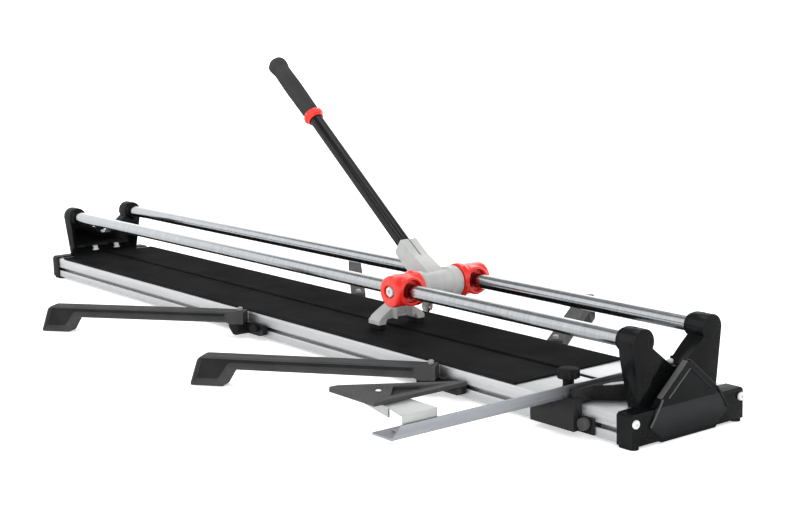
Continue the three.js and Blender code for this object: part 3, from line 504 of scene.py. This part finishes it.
def copy_of(node, width, segments=3, angle=CREASE):
    """The CAD node's own shape with its edges rounded."""
    source = frame["nodes"][node]
    obj = bpy.data.objects.new(node + "_skin", source.data.copy())
    bpy.context.scene.collection.objects.link(obj)
    bm = bmesh.new()
    bm.from_mesh(obj.data)
    bmesh.ops.remove_doubles(bm, verts=bm.verts, dist=1e-6)
    bmesh.ops.dissolve_limit(bm, angle_limit=math.radians(1), verts=bm.verts, edges=bm.edges)
    bm.to_mesh(obj.data)
    bm.free()
    return bevelled(obj, width, segments, angle) if width else obj


def body_of(node):
    """The body a CAD node rides on."""
    return frame["nodes"][node]["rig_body"]


def skin(node, material, width=0.6, segments=3, angle=CREASE):
    """Dresses a rounded copy of a CAD node in its place."""
    return dress(copy_of(node, width, segments, angle), body_of(node), material, node)


# ---------------------------------------------------------------- bed
def bed():
    for side in ("front", "rear"):
        skin(f"{side}_profile", "bed", 0.7)
        skin(f"rubber_pad_{side}", "rubber", 0.25, 2)
    skin("centre_spine", "spine", 0.5)


# ---------------------------------------------------------------- ends
def ends():
    for end, flip in (("near", False), ("far", True)):
        skin(f"{end}_support", "casting", 2.4, 4)
        skin(f"{end}_cover", "casting", 1.2)
        for side in ("front", "rear"):
            skin(f"foot_{end}_{side}", "foot", 0.8)
            skin(f"end_bolt_{end}_{side}", "zinc", 0.5)
        for piece in end_details(end):
            turned_end(piece, flip)


def end_details(end):
    """Collars, ridges and screws that are too fine for the CAD casting, in the near end's place."""
    details = []
    for side in (-1, 1):
        tag = side + 1
        details.append(dress(rail_collar(f"{end}_collar_{tag}", side * RAIL_Y), "bed", "casting"))
        # Painted light: the front side's border and ridge take the lighter grey, as if lit, and the rear
        # side's keep the casting's black, as if in shade.
        tone = "grey" if side < 0 else "casting"
        root = END - 1
        border = strip(f"{end}_border_{tag}", (side, 103), (side * 46, 66), 2, (root, END + 1.6))
        ridge = strip(f"{end}_ridge_{tag}", (side * 59, 66), (side * 84, 29), 2.4, (root, END + 2))
        # The strip on each gable slope is grey on both sides: a painted lit band on the slope.
        lit_shoulder = strip(f"{end}_shoulder_{tag}", (side * 4, 113.6), (side * 59, 66.6), 2, (END - 11, root))
        details += [dress(border, "bed", tone), dress(ridge, "bed", tone), dress(lit_shoulder, "bed", "grey")]
        details.append(dress(floor_screw(f"{end}_floor_screw_{tag}", side * 28), "bed", "zinc"))
    details.append(dress(notch_screw(f"{end}_notch_screw"), "bed", "zinc"))
    return details


def rail_collar(name, y):
    """Stepped ring round a rail, where it enters its post."""
    face = END - POST_INNER
    bore = RAIL_R + 0.2
    return lathe(name, [
        (bore, face + 1), (20, face + 1), (20, face - 3.5), (17.5, face - 5), (17.5, face - 9),
        (15, face - 10.5), (bore, face - 10.5),
    ], "x", (0, y, RAIL_Z), round_off=0.7)


def strip(name, top, low, width, span):
    """Straight raised strip on an end face, from top to low in (Y, Z), with its width towards the middle."""
    start, finish = Vector(top), Vector(low)
    inward = Vector((-math.copysign(1, finish.x), 0))
    along = (finish - start).normalized()
    across = (inward - along * inward.dot(along)).normalized() * width
    corners = [tuple(start), tuple(finish), tuple(finish + across), tuple(start + across)]
    return bevelled(prism(name, corners, "x", span), 0.5, 2)


def floor_screw(name, y):
    """Cap screw and washer that hold the casting down on the bed."""
    seat = 61.8  # the casting's floor
    return lathe(name, [
        (0, seat), (8.5, seat), (8.5, seat + 1.8), (6, seat + 1.8), (6, seat + 9), (5.2, seat + 10),
        (3, seat + 10), (3, seat + 6), (0, seat + 6),
    ], "z", (END - POST_INNER + 8, y, 0), SMALL)


def notch_screw(name):
    """Small screw with a hollow head in the notch between the posts."""
    seat = 101  # the notch's floor
    return lathe(name, [
        (0, seat), (5, seat), (5, seat + 5), (4, seat + 6), (2.4, seat + 6), (2.4, seat + 4), (0, seat + 4),
    ], "z", (END - 44, 5, 0), SMALL)


# ---------------------------------------------------------------- rails and carriage
def rails():
    profile = [(RAIL_BORE_R, -RAIL_HALF), (RAIL_R, -RAIL_HALF), (RAIL_R, RAIL_HALF), (RAIL_BORE_R, RAIL_HALF)]
    for side, y in (("front", -RAIL_Y), ("rear", RAIL_Y)):
        tube = lathe(f"{side}_rail_tube", profile, "x", (0, y, RAIL_Z), LONG)
        dress(tube, "bed", "rail", f"{side}_rail")


def melted(node, material, voxel, passes=5):
    """The CAD node's own shape as a casting, with soft fillets where its masses meet."""
    return dress(cast(copy_of(node, 0), voxel, passes), body_of(node), material, node, angle=CAST_CREASE)


def carriage():
    for side in ("front", "rear"):
        melted(f"sleeve_{side}", "red", 0.9, 8)
        skin(f"sleeve_nut_{side}", "zinc", 0.7)
    skin("cross_axle", "rail", 0.3)


# ---------------------------------------------------------------- lever
def lever():
    melted("lever_body", "grey_casting", 1.1)
    tube_bore = TUBE_R - TUBE_WALL
    tube = lathe("lever_tube_skin", [
        (tube_bore, TUBE_START), (TUBE_R, TUBE_START), (TUBE_R, TUBE_END), (tube_bore, TUBE_END),
    ], "z", sides=LONG)
    dress(along_lever(tube), "lever", "paint", "lever_tube")

    collar = lathe("grip_collar_skin", [
        (GRIP_BORE_R, COLLAR_START), (15.5, COLLAR_START), (16.5, COLLAR_START + 5), (20, COLLAR_START + 8),
        (20, COLLAR_END - 3), (17, COLLAR_END), (GRIP_BORE_R, COLLAR_END),
    ], "z", sides=LONG, round_off=1.2)
    collar = fluted(collar, AXIS, count=16, depth=0.8, beyond=18)
    dress(along_lever(collar), "lever", "red", "grip_collar")
    grip = fluted(grip_shape(), AXIS, count=6, depth=0.7, beyond=14)
    dress(along_lever(grip), "lever", "grip", "grip", angle=RING_CREASE)

    melted("breaker_foot", "grey_casting", 1.0, 4)
    skin("foot_pad_front", "foot", 0.8)
    skin("foot_pad_rear", "foot", 0.8)
    skin("wheel_holder", "dull_zinc", 0.4)
    skin("scoring_wheel", "carbide", 0.1)
    skin("wheel_pin", "zinc", 0.2)


def grip_shape():
    """Waisted rubber grip with fine rings and a bulb at its end."""
    start = COLLAR_END + 0.3
    ring_pitch = 3.2
    ring_depth = 0.5
    waist_length = 150
    profile = [(GRIP_BORE_R, start), (15.6, start), (16.0, start + 2)]
    for i in range(int((GRIP_END - 30 - start) / ring_pitch)):
        along = start + 4 + i * ring_pitch
        swell = 16.3 + math.sin(math.pi * (along - start) / waist_length) ** 2
        valley = swell - ring_depth
        profile += [(swell, along), (swell, along + 2.1), (valley, along + 2.5), (valley, along + 2.9)]
    profile += [
        (17.6, GRIP_END - 24), (19.3, GRIP_END - 13), (18.6, GRIP_END - 7), (15.5, GRIP_END - 2.5),
        (10, GRIP_END), (0.5, GRIP_END), (0.5, TUBE_END + 1), (GRIP_BORE_R, TUBE_END + 1),
    ]
    return lathe("grip_skin", profile, "z", sides=84)


# ---------------------------------------------------------------- arms
def arms():
    for name, (x, side, heading) in STATIONS.items():
        place = Matrix.Translation((x * MM, side * PIVOT_Y * MM, 0))
        block = mirrored(hinge_block(f"hinge_block_{name}_skin"), side > 0)
        block.data.transform(place)
        dress(block, f"station_{name}", "plastic", f"hinge_block_{name}")
        skin(f"hinge_pin_{name}", "dull_zinc")
        skin(f"clamp_knob_{name}", "plastic", 1.6)
        arm, shade_plates = swing_arm(f"swing_arm_{name}_skin")
        turn = place @ Matrix.Rotation(math.radians(heading), 4, "Z")
        for floor in shade_plates:
            floor.data.transform(turn)
            # The dish floors take the darker plastic: painted shade in the recesses.
            dress(floor, f"arm_{name}", "recess_shade")
        arm.data.transform(turn)
        dress(arm, f"arm_{name}", "grey", f"swing_arm_{name}", angle=CAST_CREASE)


def swing_arm(name):
    """Moulded arm along +X: root, beam and leg, with a dish on each face, and a darker plate on each dish's
    floor as painted shade.
    """
    outline = fillet([
        (-10, ARM_ROOT_UNDER), (20, ARM_ROOT_UNDER), (26, ARM_UNDER), (LEG_TOP, ARM_UNDER), (LEG_FOOT, 0.3),
        (ARM_REACH, 0.3), (ARM_REACH - 16, ARM_TOP - 6.5), (ARM_REACH - 24, ARM_TOP), (-10, ARM_TOP),
    ], [2, 3, 3, 6, 3, 5, 3, 3, 2], 5)
    arm = prism(name, outline, "y", (-ARM_HALF, ARM_HALF))
    radii = [3, 6, 5, 4, 3, 3]
    rim = fillet([
        (24, 33), (LEG_TOP + 5, 33), (LEG_FOOT + 4, 3), (ARM_REACH - 5, 3), (ARM_REACH - 20, ARM_TOP - 4),
        (24, ARM_TOP - 4),
    ], radii)
    base = fillet([
        (30, 41), (LEG_TOP + 10, 41), (LEG_FOOT + 12, 12), (ARM_REACH - 10, 12),
        (ARM_REACH - 22, ARM_TOP - 5), (30, ARM_TOP - 5),
    ], radii)
    bottom = ARM_HALF - 6.5
    dishes = []
    shade_plates = []
    for side in (-1, 1):
        dishes.append(prism("dish", rim, "y", (side * (ARM_HALF + 0.6), side * bottom), base))
        # Each floor plate is a darker sheet laid just over the dish's bottom: painted shade.
        shade_plates.append(prism(f"{name}_panel", base, "y", (side * 5, side * (bottom + 0.25))))
    hole = lathe("pin_hole", [(0, 20), (4.3, 20), (4.3, 60), (0, 60)], "z", sides=32)
    return cast(cut(arm, *dishes, hole), 1.0, 3), shade_plates


def hinge_block(name):
    """Black block that holds an arm's pin: a body tapering to its foot, and a clamp beside it on the bed."""
    bed_side = PIVOT_Y - BED_FACE - 0.4
    top = 27.5
    body = prism(name, fillet([
        (-6, 7), (7, 7), (13, 15), (13, top), (-22, top), (-20, 19),
    ], [3, 3, 3, 0.5, 1, 3]), "y", (-15, bed_side))
    clamp = prism("clamp", fillet([
        (12, 10), (60, 10), (68, 15), (70, 26), (66, 31), (20, 31), (16, top), (12, top),
    ], [1, 4, 4, 4, 4, 2, 2, 0.5]), "y", (bed_side - 11.1, bed_side))
    return bevelled(join(body, clamp), 1.2, 3)


# ---------------------------------------------------------------- fence
def fence():
    skin("fence_holder", "plastic", 1.6)
    skin("holder_knob", "grey", 0.8)
    skin("end_stop", "plastic", 1.0)
    skin("angle_plate", "fence", 0.3)
    skin("fence_bar", "fence")
    knob = fluted(fence_knob(), CLAMP, count=10, depth=1.3, beyond=15.5)
    dress(knob, "fence_clamp", "plastic", "fence_knob")
    dress(fence_washer(), "fence_clamp", "zinc")
    skin("square_bracket", "bracket")
    skin("square_plate", "grey", 0.7)
    skin("square_screw", "zinc", 0.5)
    # The plate in the square's window is painted shade, not a part.
    dress(square_window_shade(), "square", "plastic")


def fence_knob():
    """Knob on its stud: washer, neck and a round head that takes the flutes."""
    return lathe("fence_knob_skin", [
        (0, 51.5), (4, 51.5), (4, 63.3), (14, 63.3), (14, 65.8), (8.5, 67.3), (8.5, 83), (16.5, 83),
        (17.5, 84.5), (17.5, 94.5), (15, 97), (9, 98.2), (0, 98.4),
    ], "z", (*CLAMP, 0), LONG, round_off=0.6)


def fence_washer():
    """Bright washer round the knob's neck."""
    outline = [(8.8, 67.4), (12.5, 67.4), (12.5, 69.2), (8.8, 69.2)]
    return lathe("fence_washer", outline, "z", (*CLAMP, 0), SMALL)


def square_window_shade():
    """Dark plate filling the window of the square: painted shade in place of the shadowed space beneath."""
    corners = [(770, -404), (770, -338), (747, -338), (727, -367)]
    return bevelled(prism("square_window_shade", corners, "z", (91.5, 93.5)), 0.4, 2)


# ---------------------------------------------------------------- stage
# Metres from here on: the stage and the camera
PAPER_HALF = 12.0
PAPER_FLAT = 5.0
PAPER_RISE = 0.15
GLOW_NEAR = 0.6
GLOW_FAR = 5.0
SKY_STRENGTH = 0.55
# Each lamp's place, what it points at, its diameter and its watts
LAMPS = {
    "key": ((0.6, -2.4, 3.2), (0, 0, 0.1), 1.8, 26),
    "fill": ((3.4, -0.6, 1.6), (0.5, 0, 0.1), 1.4, 5),
    "top": ((-0.4, 0.4, 3.4), (0, 0, 0.1), 2.6, 44),
    "rim": ((-1.6, 2.8, 2.2), (-0.2, 0, 0.2), 1.8, 12),
    "glint": ((2.1, -2.6, 1.5), (0.8, 0, 0.1), 0.3, 7),
}


def stage():
    paper()
    world = bpy.data.worlds.new("studio")
    bpy.context.scene.world = world
    world.use_nodes = True
    sky = world.node_tree.nodes["Background"]
    sky.inputs["Color"].default_value = (1, 1, 1, 1)
    sky.inputs["Strength"].default_value = SKY_STRENGTH
    for name, lamp in LAMPS.items():
        soft_lamp(name, *lamp)


def paper():
    """White paper that curves up and glows towards its far edges, to stay white behind the object."""
    bm = bmesh.new()
    bmesh.ops.create_grid(bm, x_segments=80, y_segments=80, size=PAPER_HALF / MM)
    for vertex in bm.verts:
        beyond = max(0.0, vertex.co.length - PAPER_FLAT / MM)
        vertex.co.z = PAPER_RISE * MM * beyond**2
    floor = smooth(to_object("floor", bm))
    paint = Paint("floor_paper")
    clouds = paint.noise(2, 2)
    tone = paint.mix(paint.spread(clouds, 0, 1), (0.86, 0.86, 0.86), (0.89, 0.89, 0.89))
    distance = paint.nodes.new("ShaderNodeVectorMath")
    distance.operation = "LENGTH"
    paint.links.new(paint.place, distance.inputs[0])
    glow = paint.spread(distance.outputs["Value"], 0.38, 1.08, GLOW_NEAR, GLOW_FAR)
    paint.shader.inputs["Emission Color"].default_value = (1, 1, 1, 1)
    paint.links.new(glow, paint.shader.inputs["Emission Strength"])
    floor.data.materials.append(paint.finish(tone, 0.9, specular=0.1))


def soft_lamp(name, place, target, size, power):
    """Round area lamp at place, pointing at target."""
    lamp = bpy.data.lights.new(name, "AREA")
    lamp.shape = "DISK"
    lamp.size = size
    lamp.energy = power
    obj = bpy.data.objects.new(name, lamp)
    obj.location = place
    obj.rotation_mode = "QUATERNION"
    obj.rotation_quaternion = (Vector(target) - Vector(place)).to_track_quat("-Z", "Y")
    bpy.context.scene.collection.objects.link(obj)


def camera():
    """The photograph's viewing angle: looking down the bed from its near end."""
    place = (2.3956, -1.6162, 0.6430)
    yaw = math.radians(52.756)
    pitch = math.radians(9.744)
    roll = math.radians(-1.526)
    forward = Vector((-math.sin(yaw) * math.cos(pitch), math.cos(yaw) * math.cos(pitch), -math.sin(pitch)))
    level = Vector((math.cos(yaw), math.sin(yaw), 0))
    upright = level.cross(forward)
    right = level * math.cos(roll) + upright * math.sin(roll)
    up = upright * math.cos(roll) - level * math.sin(roll)
    data = bpy.data.cameras.new("camera")
    data.sensor_width = 36
    data.lens = 67.49
    data.clip_start = 0.05
    data.clip_end = 60
    obj = bpy.data.objects.new("camera", data)
    turn = Matrix((right, up, -forward)).transposed()
    obj.matrix_world = Matrix.Translation(place) @ turn.to_4x4()
    bpy.context.scene.collection.objects.link(obj)
    bpy.context.scene.camera = obj
    bpy.context.scene.view_settings.view_transform = "Standard"


camera()
stage()
bed()
ends()
rails()
carriage()
lever()
arms()
fence()
